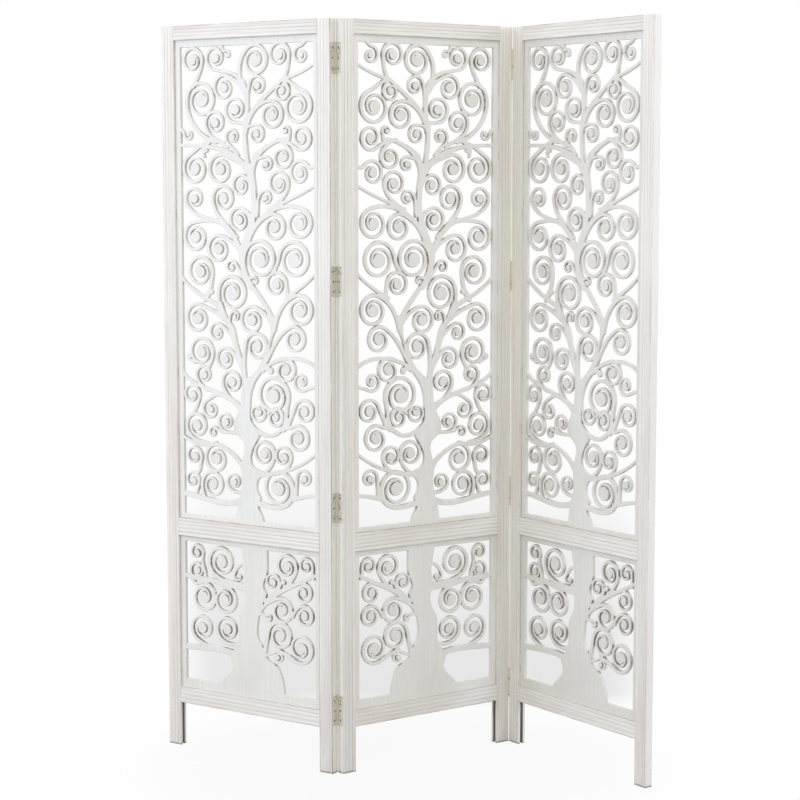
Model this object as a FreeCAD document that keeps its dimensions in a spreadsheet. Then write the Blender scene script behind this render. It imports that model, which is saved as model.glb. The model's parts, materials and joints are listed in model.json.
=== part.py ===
import FreeCAD, Part
import math
import os

from FreeCAD import Placement, Rotation, Vector

# Three hinged panels of a pierced wooden screen, standing in a zigzag.
# The origin lies on the floor in the middle of the footprint, with Z up and the viewer towards -Y.

document = FreeCAD.newDocument("Screen")
sheet = document.addObject("Spreadsheet::Sheet", "Sizes")

# Every size that can be set on its own, in millimetres and degrees.
SIZES = (
    ("screen_height", "1830"),
    ("panel_width", "517"),
    ("frame_thickness", "22"),
    ("stile_width", "38"),
    ("top_rail_height", "35"),
    ("middle_rail_height", "47"),
    ("bottom_rail_height", "42"),
    ("middle_rail_level", "548"),
    ("leg_height", "113"),
    ("board_thickness", "9"),
    ("side_border", "16"),
    ("upper_top_border", "18"),
    ("upper_foot_border", "10"),
    ("lower_top_border", "14"),
    ("lower_foot_border", "22"),
    ("board_seat", "8"),
    ("groove_clearance", "1"),
    ("tenon_shoulder", "1"),
    ("tenon_length", "24"),
    ("tenon_thickness", "8"),
    ("mortise_clearance", "1"),
    ("stile_gap", "0.8"),
    ("axis_stand_off", "0.5"),
    ("hinge_height", "72"),
    ("top_hinge_level", "1737"),
    ("second_hinge_level", "1207"),
    ("third_hinge_level", "658"),
    ("bottom_hinge_level", "156"),
    ("leaf_width", "18"),
    ("leaf_thickness", "1.1"),
    ("leaf_gap", "0.2"),
    ("knuckle_radius", "2.8"),
    ("knuckle_gap", "0.3"),
    ("hinge_bed_clearance", "0.3"),
    ("pin_radius", "1.3"),
    ("pin_clearance", "0.05"),
    ("pin_cap_radius", "2.4"),
    ("pin_cap_height", "1.5"),
    ("screw_radius", "1.4"),
    ("screw_head_radius", "2.9"),
    ("screw_length", "11"),
    ("screw_clearance", "0.05"),
    ("cut_overrun", "2"),
    ("left_panel_turn", "-33.5"),
    ("centre_panel_turn", "35.5"),
    ("right_panel_turn", "-54"),
)

for row, (name, value) in enumerate(SIZES, start=1):
    sheet.set("A%d" % row, name)
    sheet.set("B%d" % row, value)
    sheet.setAlias("B%d" % row, name)
document.recompute()


def size(name):
    return float(sheet.get(name))


def formula(text):
    """An expression on the sheet, from a sum in which each size stands in angle brackets."""
    return text.replace("<", "Sizes.").replace(">", "")


# Longer sums of sizes that are used in several places, written once.
KNUCKLE_REACH = "(<knuckle_radius> + <knuckle_gap>)"
LEAF_START = "(%s - <axis_stand_off>)" % KNUCKLE_REACH
LEAF_SINK = "(<leaf_thickness> + <leaf_gap> / 2 - <stile_gap> / 2)"
GROOVE = "(<board_seat> + <groove_clearance>)"
SHOULDER = "(<board_seat> + <groove_clearance> + <tenon_shoulder>)"
MORTISE = "(<tenon_length> + <mortise_clearance>)"
GROOVE_BACK = "((<frame_thickness> - <board_thickness>) / 2)"
TENON_BACK = "((<frame_thickness> - <tenon_thickness>) / 2)"
BOTTOM_RAIL_TOP = "(<leg_height> + <bottom_rail_height>)"
MIDDLE_RAIL_TOP = "(<middle_rail_level> + <middle_rail_height>)"
TOP_RAIL_LEVEL = "(<screen_height> - <top_rail_height>)"
RAIL_LENGTH = "(<panel_width> - 2 * <stile_width>)"
KNUCKLES = 5
KNUCKLE_HEIGHT = "((<hinge_height> - %d * <knuckle_gap>) / %d)" % (KNUCKLES - 1, KNUCKLES)

HINGE_LEVELS = ("top_hinge_level", "second_hinge_level", "third_hinge_level", "bottom_hinge_level")
HINGE_NAMES = ("top", "upper", "lower", "bottom")
screw_level_shares = (-0.34, 0, 0.34)


def bind(item, **properties):
    """Bind properties of an object to expressions on the sheet."""
    for name, text in properties.items():
        item.setExpression(name.replace("_at_", "Placement.Base."), formula(text))
    return item


def block(name, x, y, z, length, width, height):
    """A box from its least corner and its three lengths, all of them expressions."""
    item = document.addObject("Part::Box", name)
    bind(item, Length=length, Width=width, Height=height, _at_x=x, _at_y=y, _at_z=z)
    return item


def rod(name, x, y, z, radius, height, turn=Rotation()):
    """A cylinder from the middle of its base, along Z before its turn."""
    item = document.addObject("Part::Cylinder", name)
    item.Placement = Placement(Vector(), turn)
    bind(item, Radius=radius, Height=height, _at_x=x, _at_y=y, _at_z=z)
    return item


def taper(name, x, y, z, radius, end_radius, height, turn):
    """A cut-off cone from the middle of its base, along Z before its turn."""
    item = document.addObject("Part::Cone", name)
    item.Placement = Placement(Vector(), turn)
    bind(item, Radius1=radius, Radius2=end_radius, Height=height, _at_x=x, _at_y=y, _at_z=z)
    return item


def joined(name, items):
    """One solid out of several overlapping ones."""
    item = document.addObject("Part::MultiFuse", name)
    item.Shapes = items
    item.Refine = True
    return item


def gathered(name, items):
    """Several shapes held together without joining them."""
    item = document.addObject("Part::Compound", name)
    item.Links = items
    return item


def without(name, base, tool):
    """A shape with another one taken away."""
    item = document.addObject("Part::Cut", name)
    item.Base = base
    item.Tool = tool
    item.Refine = True
    return item


finished = []


def finish(item, label, placement):
    """Give a finished piece its name and its place in the standing screen."""
    item.Label = label
    item.Placement = placement
    finished.append(item)


# The panels stand on their hinge axes. The left and centre panels are hinged on their back faces,
# the centre and right ones on their front faces.

UPRIGHT = Vector(0, 0, 1)
stile_gap = size("stile_gap")
axis_stand_off = size("axis_stand_off")
panel_width = size("panel_width")
frame_thickness = size("frame_thickness")
near_axis = -stile_gap / 2
far_axis = panel_width + stile_gap / 2
back_axis = frame_thickness + axis_stand_off
front_axis = -axis_stand_off


def standing(turn, own_point, world_point):
    """The placement which turns a panel and lays its own point on a point of the plan."""
    rotation = Rotation(UPRIGHT, turn)
    return Placement(world_point - rotation.multVec(own_point), rotation)


def stand_panels(first_axis):
    """Placements of the three panels for a first hinge axis, with the second axis."""
    left = standing(size("left_panel_turn"), Vector(far_axis, back_axis, 0), first_axis)
    centre = standing(size("centre_panel_turn"), Vector(near_axis, back_axis, 0), first_axis)
    second_axis = centre.multVec(Vector(far_axis, front_axis, 0))
    right = standing(size("right_panel_turn"), Vector(near_axis, front_axis, 0), second_axis)
    return left, centre, right, second_axis


def footprint_middle(placements):
    """Middle of the rectangle round the feet of all panels."""
    corners = []
    for placement in placements:
        for x in (0, panel_width):
            for y in (0, frame_thickness):
                corners.append(placement.multVec(Vector(x, y, 0)))
    xs = [corner.x for corner in corners]
    ys = [corner.y for corner in corners]
    return Vector((min(xs) + max(xs)) / 2, (min(ys) + max(ys)) / 2, 0)


first_axis = -footprint_middle(stand_panels(Vector())[:3])
left_place, centre_place, right_place, second_axis = stand_panels(first_axis)


# Frames of the panels: stiles with mortises and grooves, rails with tenons and grooves.

def hinge_beds(name, on_left, on_front):
    """What the hinges take from a stile: a bed for each leaf, a hollow for its knuckles and screw holes."""
    inward = Rotation(Vector(0, 1, 0), 90 if on_left else -90)
    bed_reach = LEAF_START + " + <leaf_width> + <hinge_bed_clearance>"
    edge = "0" if on_left else "<panel_width>"
    bed_side = "-<cut_overrun>" if on_left else "<panel_width> - " + LEAF_SINK
    axis_side = "-<stile_gap> / 2" if on_left else "<panel_width> + <stile_gap> / 2"
    bed_depth = "-<cut_overrun>" if on_front else "<frame_thickness> - (%s)" % bed_reach
    axis_depth = "-<axis_stand_off>" if on_front else "<frame_thickness> + <axis_stand_off>"
    screw_depth = LEAF_START + " + <leaf_width> / 2"
    if not on_front:
        screw_depth = "<frame_thickness> - (%s)" % screw_depth
    hollow_half = "(<hinge_height> / 2 + <pin_cap_height> + <hinge_bed_clearance>)"
    cuts = []
    for level in HINGE_LEVELS:
        cuts.append(block(
            "%s_%s_bed" % (name, level), bed_side, bed_depth,
            "<%s> - <hinge_height> / 2 - <hinge_bed_clearance>" % level,
            LEAF_SINK + " + <cut_overrun>", bed_reach + " + <cut_overrun>",
            "<hinge_height> + 2 * <hinge_bed_clearance>",
        ))
        cuts.append(rod(
            "%s_%s_hollow" % (name, level), axis_side, axis_depth, "<%s> - %s" % (level, hollow_half),
            KNUCKLE_REACH, "2 * " + hollow_half,
        ))
        for index, share in enumerate(screw_level_shares):
            cuts.append(rod(
                "%s_%s_hole_%d" % (name, level, index), edge, screw_depth,
                "<%s> + %s * <hinge_height>" % (level, share), "<screw_radius> + <screw_clearance>",
                LEAF_SINK + " + <screw_length> + <screw_clearance>", inward,
            ))
    return cuts


def stile(panel, side, placement, hinge_face):
    """An upright of a frame, grooved and mortised inside; hinge_face is the face that its hinges turn on."""
    name = "%s_%s_stile" % (panel, side)
    on_left = side == "left"
    start = "0" if on_left else "<panel_width> - <stile_width>"
    past_inside = "<panel_width> - <stile_width> - <cut_overrun>"
    groove_start = "<stile_width> - " + GROOVE if on_left else past_inside
    mortise_start = "<stile_width> - " + MORTISE if on_left else past_inside
    cuts = []
    # The lower groove runs on down the leg to its end.
    for part, low, high in (
        ("lower", "-<cut_overrun>", "<middle_rail_level> + " + GROOVE),
        ("upper", MIDDLE_RAIL_TOP + " - " + GROOVE, TOP_RAIL_LEVEL + " + " + GROOVE),
    ):
        cuts.append(block(
            "%s_%s_groove" % (name, part), groove_start, GROOVE_BACK, low,
            GROOVE + " + <cut_overrun>", "<board_thickness>", "%s - (%s)" % (high, low),
        ))
    for part, low, high in (
        ("bottom", "<leg_height>", BOTTOM_RAIL_TOP),
        ("middle", "<middle_rail_level>", MIDDLE_RAIL_TOP),
        ("top", TOP_RAIL_LEVEL, "<screen_height>"),
    ):
        cuts.append(block(
            "%s_%s_mortise" % (name, part), mortise_start, TENON_BACK, low + " + " + SHOULDER,
            MORTISE + " + <cut_overrun>", "<tenon_thickness>", high + " - " + low + " - 2 * " + SHOULDER,
        ))
    if hinge_face:
        cuts += hinge_beds(name, on_left, hinge_face == "front")
    body = block(name + "_body", start, "0", "0", "<stile_width>", "<frame_thickness>", "<screen_height>")
    finish(without(name + "_cut", body, gathered(name + "_cuts", cuts)), name, placement)


def rail(panel, part, placement, low, high, grooves):
    """A cross piece of a frame with a tenon at each end and a groove for each board that it holds."""
    name = "%s_%s_rail" % (panel, part)
    body = block(
        name + "_body", "<stile_width>", "0", low,
        RAIL_LENGTH, "<frame_thickness>", high + " - " + low,
    )
    tenon = block(
        name + "_tenon", "<stile_width> - <tenon_length>", TENON_BACK, low + " + " + SHOULDER,
        RAIL_LENGTH + " + 2 * <tenon_length>", "<tenon_thickness>", high + " - " + low + " - 2 * " + SHOULDER,
    )
    cuts = []
    for edge in grooves:
        level = high + " - " + GROOVE if edge == "top" else low + " - <cut_overrun>"
        cuts.append(block(
            "%s_%s_groove" % (name, edge), "<stile_width> - <cut_overrun>", GROOVE_BACK, level,
            RAIL_LENGTH + " + 2 * <cut_overrun>", "<board_thickness>", GROOVE + " + <cut_overrun>",
        ))
    fused = joined(name + "_solid", [body, tenon])
    finish(without(name + "_cut", fused, gathered(name + "_cuts", cuts)), name, placement)


def frame(panel, placement, left_hinges, right_hinges):
    """The five pieces of one panel's frame."""
    stile(panel, "left", placement, left_hinges)
    stile(panel, "right", placement, right_hinges)
    rail(panel, "bottom", placement, "<leg_height>", BOTTOM_RAIL_TOP, ("top",))
    rail(panel, "middle", placement, "<middle_rail_level>", MIDDLE_RAIL_TOP, ("bottom", "top"))
    rail(panel, "top", placement, TOP_RAIL_LEVEL, "<screen_height>", ("bottom",))


frame("left", left_place, None, "back")
frame("centre", centre_place, "back", "front")
frame("right", right_place, "front", None)


# Hinges: five knuckles, three on one leaf and two on the other, round a capped pin.
# A leaf is made with its axis at the origin, lying on the +X and -Y side, and is the same both ways up.

HALF_TURN_ABOUT = {
    "back right": Rotation(Vector(0, 0, 1), 0),
    "back left": Rotation(Vector(0, 1, 0), 180),
    "front left": Rotation(Vector(0, 0, 1), 180),
    "front right": Rotation(Vector(1, 0, 0), 180),
}
LEAF_MIDDLE = "(-%s - <leaf_width> / 2)" % KNUCKLE_REACH
KNUCKLE_STEP = "(%s + <knuckle_gap>)" % KNUCKLE_HEIGHT


def knuckle_level(index):
    return "%d * %s - <hinge_height> / 2" % (index, KNUCKLE_STEP)


def leaf(name, placement, knuckles):
    """A leaf with the knuckles of the given numbers and three countersunk holes."""
    solids = [block(
        name + "_plate", "<leaf_gap> / 2", "-%s - <leaf_width>" % KNUCKLE_REACH, "-<hinge_height> / 2",
        "<leaf_thickness>", "<leaf_width>", "<hinge_height>",
    )]
    for index in knuckles:
        solids.append(block(
            "%s_neck_%d" % (name, index), "<leaf_gap> / 2", "-%s - <leaf_width> / 2" % KNUCKLE_REACH,
            knuckle_level(index), "<leaf_thickness>", "%s + <leaf_width> / 2" % KNUCKLE_REACH, KNUCKLE_HEIGHT,
        ))
        solids.append(rod(
            "%s_knuckle_%d" % (name, index), "0", "0", knuckle_level(index),
            "<knuckle_radius>", KNUCKLE_HEIGHT,
        ))
    cuts = [rod(
        name + "_bore", "0", "0", "-<hinge_height> / 2 - <cut_overrun>",
        "<pin_radius> + <pin_clearance>", "<hinge_height> + 2 * <cut_overrun>",
    )]
    for index, share in enumerate(screw_level_shares):
        cuts.append(taper(
            "%s_hole_%d" % (name, index), "<leaf_gap> / 2", LEAF_MIDDLE, "%s * <hinge_height>" % share,
            "<screw_head_radius> + <screw_clearance>", "<screw_radius> + <screw_clearance>",
            "<leaf_thickness>", Rotation(Vector(0, 1, 0), 90),
        ))
    fused = joined(name + "_solid", solids)
    finish(without(name + "_cut", fused, gathered(name + "_cuts", cuts)), name, placement)


def pin(name, placement):
    """A hinge pin with a cap at each end."""
    solids = [
        rod(name + "_shaft", "0", "0", "-<hinge_height> / 2", "<pin_radius>", "<hinge_height>"),
        rod(name + "_head", "0", "0", "<hinge_height> / 2", "<pin_cap_radius>", "<pin_cap_height>"),
        rod(
            name + "_foot", "0", "0", "-<hinge_height> / 2 - <pin_cap_height>",
            "<pin_cap_radius>", "<pin_cap_height>",
        ),
    ]
    finish(joined(name + "_solid", solids), name, placement)


def screw(name, share):
    """A countersunk screw in the place that its leaf gives it."""
    turn = Rotation(Vector(0, 1, 0), 90)
    height = "%s * <hinge_height>" % share
    head = taper(
        name + "_head", "<leaf_gap> / 2", LEAF_MIDDLE, height,
        "<screw_head_radius>", "<screw_radius>", "<leaf_thickness>", turn,
    )
    shank = rod(
        name + "_shank", "<leaf_gap> / 2 + <leaf_thickness>", LEAF_MIDDLE, height,
        "<screw_radius>", "<screw_length>", turn,
    )
    return joined(name, [head, shank])


def screws(name, side, axis, turn):
    """All screws of one hinged edge, as separate solids under one name."""
    groups = []
    for level in HINGE_LEVELS:
        screws = []
        for index, share in enumerate(screw_level_shares):
            screws.append(screw("%s_%s_%d" % (name, level, index), share))
        group = gathered("%s_%s" % (name, level), screws)
        place = Placement(axis, Rotation(UPRIGHT, turn)) * Placement(Vector(), HALF_TURN_ABOUT[side])
        group.Placement = place
        bind(group, _at_z="<%s>" % level)
        groups.append(group)
    finish(gathered(name + "_group", groups), name, Placement())


def hinge_row(joint, axis, first, second):
    """The hinges and screws of a joint between two panels, each given as name, side of the leaf and turn."""
    for hinge, level in zip(HINGE_NAMES, HINGE_LEVELS):
        middle = axis + Vector(0, 0, size(level))
        for (panel, side, turn), first_knuckle in ((first, 0), (second, 1)):
            place = Placement(middle, Rotation(UPRIGHT, turn)) * Placement(Vector(), HALF_TURN_ABOUT[side])
            name = "%s_%s_leaf_%s" % (joint, hinge, panel)
            leaf(name, place, range(first_knuckle, KNUCKLES, 2))
        pin("%s_%s_pin" % (joint, hinge), Placement(middle, Rotation(UPRIGHT, first[2])))
    for panel, side, turn in (first, second):
        screws("%s_screws_%s" % (joint, panel), side, axis, turn)


centre_turn = size("centre_panel_turn")
hinge_row(
    "left_hinge", first_axis,
    ("centre", "back right", centre_turn), ("left", "back left", size("left_panel_turn")),
)
hinge_row(
    "right_hinge", second_axis,
    ("centre", "front left", centre_turn), ("right", "front right", size("right_panel_turn")),
)

# Pierced boards. Their pattern is a tree of scrolls, given for the centre panel and turned over for the rest.
# Places across and radii and widths are shares of the width of the opening; heights are shares of its height.
# A curl: middle across, middle up, radius, way it winds (1 is against the clock), angle where its band
# comes in, then the start of its stem across and up, the direction it leaves in, and its width there.

upper_curl_shares = (
    (0.093, 0.975, 0.061, -1,   80, 0.034, 1.006,   10, 0.022),
    (0.253, 0.977, 0.086, -1,  190, 0.219, 0.926,  125, 0.022),
    (0.432, 0.967, 0.106,  1,   45, 0.516, 0.904,   60, 0.027),
    (0.644, 0.981, 0.034,  1,   60, 0.683, 1.006,  -90, 0.020),
    (0.730, 0.975, 0.081,  1,  -80, 0.550, 0.930,   45, 0.022),
    (0.909, 0.972, 0.088, -1,  190, 0.902, 0.917,  120, 0.025),
    (0.120, 0.870, 0.113,  1,  110, 0.236, 0.926,  175, 0.022),
    (0.236, 0.902, 0.066,  1,  130, 0.236, 0.926,  190, 0.020),
    (0.312, 0.854, 0.093,  1,  110, 0.484, 0.840,  110, 0.025),
    (0.415, 0.915, 0.069,  1,   20, 0.486, 0.868,   85, 0.022),
    (0.668, 0.913, 0.086, -1,  110, 0.521, 0.907,   60, 0.025),
    (0.582, 0.867, 0.088,  1,  -85, 0.496, 0.839,    0, 0.022),
    (0.845, 0.888, 0.120,  1,   10, 0.732, 0.800,   12, 0.027),
    (0.737, 0.840, 0.084,  1,  -20, 0.641, 0.791,   25, 0.025),
    (0.604, 0.810, 0.061,  1,  -50, 0.563, 0.772,   50, 0.020),
    (0.943, 0.817, 0.039, -1,  -60, 1.002, 0.828,  200, 0.020),
    (0.093, 0.807, 0.084, -1,  -60, 0.211, 0.802,  210, 0.022),
    (0.206, 0.821, 0.039, -1,  190, 0.187, 0.800,  110, 0.020),
    (0.425, 0.815, 0.066,  1,   90, 0.499, 0.825,  120, 0.020),
    (0.231, 0.767, 0.079,  1,  140, 0.273, 0.804,  190, 0.022),
    (0.354, 0.753, 0.054,  1,   80, 0.457, 0.753,  120, 0.022),
    (0.106, 0.735, 0.084, -1,  150, -0.010, 0.745,   60, 0.022),
    (0.263, 0.713, 0.086, -1,  200, 0.305, 0.665,  150, 0.022),
    (0.359, 0.683, 0.052,  1,   60, 0.423, 0.646,  100, 0.022),
    (0.698, 0.743, 0.101, -1,  110, 0.482, 0.738,   50, 0.025),
    (0.894, 0.745, 0.103, -1,   60, 0.781, 0.799,   -5, 0.022),
    (0.811, 0.782, 0.027,  1,    0, 0.823, 0.770,   80, 0.020),
    (0.678, 0.681, 0.093,  1,  -10, 0.580, 0.600,   50, 0.025),
    (0.902, 0.681, 0.079,  1,  -40, 0.693, 0.628,   25, 0.022),
    (0.543, 0.709, 0.074, -1,  120, 0.447, 0.695,   75, 0.022),
    (0.558, 0.637, 0.084, -1,  110, 0.452, 0.627,   75, 0.022),
    (0.113, 0.631, 0.103,  1,  110, 0.469, 0.612,  125, 0.027),
    (0.297, 0.622, 0.093,  1,   70, 0.486, 0.593,  112, 0.025),
    (0.150, 0.555, 0.125,  1,   10, 0.310, 0.526,  120, 0.025),
    (0.405, 0.555, 0.128,  1,   20, 0.324, 0.438,   60, 0.027),
    (0.285, 0.504, 0.088, -1,  180, 0.206, 0.474,  110, 0.025),
    (0.447, 0.509, 0.034,  1,   60, 0.516, 0.521,  200, 0.020),
    (0.717, 0.575, 0.096, -1,  110, 0.545, 0.566,   60, 0.025),
    (0.894, 0.600, 0.101, -1,   80, 0.649, 0.621,   35, 0.025),
    (0.619, 0.538, 0.049, -1,  150, 0.521, 0.512,   60, 0.020),
    (0.862, 0.526, 0.108, -1,  190, 0.830, 0.465,  140, 0.025),
    (0.781, 0.483, 0.027,  1,   20, 0.821, 0.472,  100, 0.020),
    (0.614, 0.482, 0.120,  1,   10, 0.658, 0.421,   60, 0.027),
    (0.111, 0.451, 0.106,  1,   70, 0.300, 0.407,  100, 0.025),
    (0.467, 0.427, 0.096, -1,  110, 0.312, 0.419,   60, 0.025),
    (0.597, 0.433, 0.042,  1,   60, 0.644, 0.410,  110, 0.020),
    (0.885, 0.426, 0.101, -1,  110, 0.683, 0.427,   40, 0.025),
    (0.735, 0.398, 0.066, -1,  120, 0.604, 0.380,   70, 0.025),
    (0.150, 0.390, 0.091,  1,   60, 0.359, 0.342,  120, 0.025),
    (0.432, 0.371, 0.098,  1,   10, 0.523, 0.305,   80, 0.027),
    (0.673, 0.342, 0.079, -1,  120, 0.538, 0.318,   65, 0.025),
    (0.860, 0.354, 0.103, -1,  200, 0.821, 0.316,  135, 0.022),
    (0.948, 0.344, 0.029,  1,  -90, 0.909, 0.331,   10, 0.020),
    (0.840, 0.305, 0.069,  1,  -30, 0.811, 0.273,   20, 0.022),
    (0.219, 0.325, 0.086,  1,   70, 0.388, 0.322,  135, 0.025),
    (0.334, 0.321, 0.029,  1,   60, 0.388, 0.324,  150, 0.020),
    (0.101, 0.303, 0.066,  1, -120, -0.015, 0.299,  -45, 0.022),
    (0.310, 0.270, 0.128, -1,  200, 0.233, 0.206,  125, 0.027),
    (0.295, 0.224, 0.069,  1,  110, 0.351, 0.232,  140, 0.020),
    (0.428, 0.232, 0.066,  1,  180, 0.388, 0.242, -110, 0.020),
    (0.079, 0.241, 0.084,  1,   20, 0.206, 0.205,  110, 0.025),
    (0.624, 0.293, 0.084,  1,  -20, 0.543, 0.228,   55, 0.025),
    (0.791, 0.232, 0.069, -1,   60, 0.715, 0.264,   10, 0.022),
    (0.671, 0.207, 0.069,  1,  -70, 0.580, 0.185,    5, 0.022),
    (0.939, 0.261, 0.074, -1,  200, 0.958, 0.214,  150, 0.022),
    (0.899, 0.194, 0.093,  1,  -30, 0.813, 0.158,   10, 0.022),
    (0.769, 0.183, 0.044, -1,  130, 0.654, 0.185,    0, 0.020),
    (0.128, 0.183, 0.093,  1,   60, 0.236, 0.199,  120, 0.025),
    (0.241, 0.143, 0.074, -1,  200, 0.236, 0.113,  150, 0.020),
    (0.383, 0.146, 0.091, -1,  200, 0.371, 0.108,  150, 0.022),
    (0.749, 0.126, 0.101, -1,  110, 0.531, 0.100,   70, 0.027),
    (0.924, 0.128, 0.071, -1,  200, 0.899, 0.091,  140, 0.022),
    (0.084, 0.100, 0.064,  1,    0, 0.145, 0.063,   92, 0.022),
    (0.275, 0.074, 0.125, -1,  215, 0.452, 0.040,  187, 0.037),
    (0.612, 0.079, 0.064,  1,  -60, 0.536, 0.057,    0, 0.022),
    (0.779, 0.069, 0.093,  1,   30, 0.838, 0.037,   60, 0.025),
    (0.939, 0.075, 0.064, -1,  200, 0.924, 0.043,  140, 0.022),
)
upper_branch_shares = (
    (0.236, 0.926,  170, -0.015, 0.958,  150, 0.022, 0.017),
    (0.506, 0.819,   95, 0.211, 0.931,  140, 0.032, 0.022),
    (0.511, 0.224, -105, 0.346, 0.185,  180, 0.029, 0.025),
    (0.346, 0.185,  180, 0.206, 0.223,  112, 0.025, 0.025),
    (0.472, 0.725,   75, 0.511, 0.840,   92, 0.034, 0.027),
    (0.496, 0.840,   95, 0.526, 0.926,   60, 0.032, 0.027),
    (0.494, 0.738,   60, 1.022, 0.794,    0, 0.037, 0.020),
    (0.457, 0.742,  100, 0.182, 0.805,  180, 0.034, 0.020),
    (0.339, 0.660,  160, -0.015, 0.711,  150, 0.022, 0.017),
    (0.538, 0.561,   75, 0.732, 0.637,   25, 0.032, 0.022),
    (0.216, 0.476,  150, -0.015, 0.533,  130, 0.025, 0.017),
    (0.727, 0.455,   25, 1.022, 0.520,   55, 0.029, 0.017),
    (0.393, 0.323,  140, -0.022, 0.328, -130, 0.025, 0.020),
    (0.531, 0.226,   60, 1.027, 0.318,   60, 0.032, 0.017),
    (0.752, 0.160,  -20, 1.027, 0.175,   40, 0.027, 0.020),
    (0.482, 0.098,  178, -0.022, 0.160,  138, 0.032, 0.017),
    (0.187, 0.054,  170, -0.022, 0.066,  185, 0.029, 0.022),
    (0.555, 0.042,  -25, 1.027, 0.044,    0, 0.039, 0.029),
)
upper_trunk_shares = ((
    (0.388, -0.004), (0.413, 0.021), (0.428, 0.037), (0.408, 0.049), (0.430, 0.062),
    (0.437, 0.077), (0.420, 0.091), (0.383, 0.104), (0.430, 0.111), (0.469, 0.119), (0.482, 0.134),
    (0.472, 0.149), (0.437, 0.170), (0.413, 0.187), (0.464, 0.205), (0.484, 0.235), (0.479, 0.265),
    (0.450, 0.294), (0.383, 0.324), (0.344, 0.350), (0.329, 0.375), (0.300, 0.401), (0.285, 0.431),
    (0.305, 0.439), (0.319, 0.433), (0.324, 0.405), (0.349, 0.375), (0.388, 0.346), (0.457, 0.316),
    (0.511, 0.305), (0.531, 0.328), (0.550, 0.350), (0.580, 0.380), (0.604, 0.410), (0.666, 0.439),
    (0.715, 0.465), (0.740, 0.456), (0.698, 0.433), (0.649, 0.410), (0.612, 0.375), (0.580, 0.346),
    (0.550, 0.316), (0.543, 0.290), (0.550, 0.265), (0.568, 0.235), (0.604, 0.213), (0.604, 0.188),
    (0.536, 0.166), (0.531, 0.149), (0.555, 0.119), (0.550, 0.081), (0.568, 0.047), (0.582, 0.030),
    (0.595, -0.004),
),)
upper_stem_shares = ((
    (0.447, 0.492), (0.496, 0.518), (0.511, 0.538), (0.511, 0.563), (0.482, 0.593), (0.447, 0.623),
    (0.428, 0.653), (0.425, 0.678), (0.432, 0.712), (0.440, 0.738), (0.418, 0.759), (0.371, 0.781),
    (0.349, 0.794), (0.413, 0.782), (0.452, 0.770), (0.474, 0.755), (0.501, 0.762), (0.516, 0.755),
    (0.491, 0.734), (0.472, 0.712), (0.462, 0.683), (0.467, 0.653), (0.491, 0.625), (0.531, 0.593),
    (0.560, 0.563), (0.548, 0.535), (0.526, 0.515), (0.477, 0.491),
),)
lower_curl_shares = (
    (0.074, 0.924, 0.059, -1,  150, 0.015, 0.843,   60, 0.020),
    (0.219, 0.902, 0.086, -1,  200, 0.241, 0.737,  130, 0.022),
    (0.327, 0.784, 0.064, -1,  200, 0.339, 0.681,  140, 0.022),
    (0.243, 0.787, 0.022,  1,    0, 0.273, 0.737,  100, 0.015),
    (0.093, 0.731, 0.074,  1,   60, 0.182, 0.779,  150, 0.020),
    (0.086, 0.569, 0.076,  1,   60, 0.174, 0.555,  110, 0.022),
    (0.256, 0.585, 0.091,  1,   70, 0.428, 0.541,  110, 0.025),
    (0.359, 0.518, 0.034,  1,   60, 0.423, 0.546,  160, 0.020),
    (0.270, 0.406, 0.101,  1,   10, 0.393, 0.238,  100, 0.027),
    (0.115, 0.339, 0.103, -1,  -60, 0.290, 0.311,  205, 0.025),
    (0.287, 0.252, 0.047,  1,   60, 0.388, 0.249,  150, 0.020),
    (0.717, 0.877, 0.111,  1,  -60, 0.560, 0.737,    5, 0.025),
    (0.912, 0.927, 0.061, -1,  200, 0.850, 0.737,  110, 0.022),
    (0.907, 0.796, 0.066,  1,  -60, 0.838, 0.728,    0, 0.020),
    (0.587, 0.793, 0.039, -1,   20, 0.531, 0.882,   20, 0.022),
    (0.693, 0.608, 0.096,  1,  130, 0.732, 0.720,  190, 0.022),
    (0.860, 0.608, 0.108,  1,   60, 0.973, 0.739,  180, 0.022),
    (0.676, 0.398, 0.093,  1,  -60, 0.570, 0.305,  -10, 0.025),
    (0.872, 0.381, 0.096,  1,  -60, 0.715, 0.238,    5, 0.025),
)
lower_branch_shares = (
    (0.371, 0.639,  140, -0.022, 0.882,  150, 0.034, 0.020),
    (0.511, 0.714,    0, 1.022, 0.751,    0, 0.039, 0.025),
    (0.604, 0.227,   15, 1.022, 0.232,    0, 0.039, 0.034),
)
lower_trunk_shares = ((
    (0.361, 1.031), (0.361, 0.877), (0.369, 0.821), (0.391, 0.770), (0.393, 0.737), (0.371, 0.695),
    (0.388, 0.639), (0.420, 0.569), (0.437, 0.485), (0.432, 0.359), (0.388, 0.289), (0.371, 0.238),
    (0.297, 0.193), (0.260, 0.126), (0.241, 0.050), (0.238, 0.014), (0.238, -0.048),
), (
    (0.732, -0.048), (0.727, 0.008), (0.698, 0.045), (0.658, 0.087), (0.634, 0.148),
    (0.649, 0.204), (0.604, 0.289), (0.582, 0.373), (0.585, 0.457), (0.568, 0.527), (0.536, 0.597),
    (0.531, 0.667), (0.550, 0.737), (0.536, 0.821), (0.543, 0.905), (0.555, 0.961), (0.555, 1.031),
))

# The opening's width over its height, at which the curls are round.
upper_round_share = 0.3473
lower_round_share = 1.14

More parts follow.
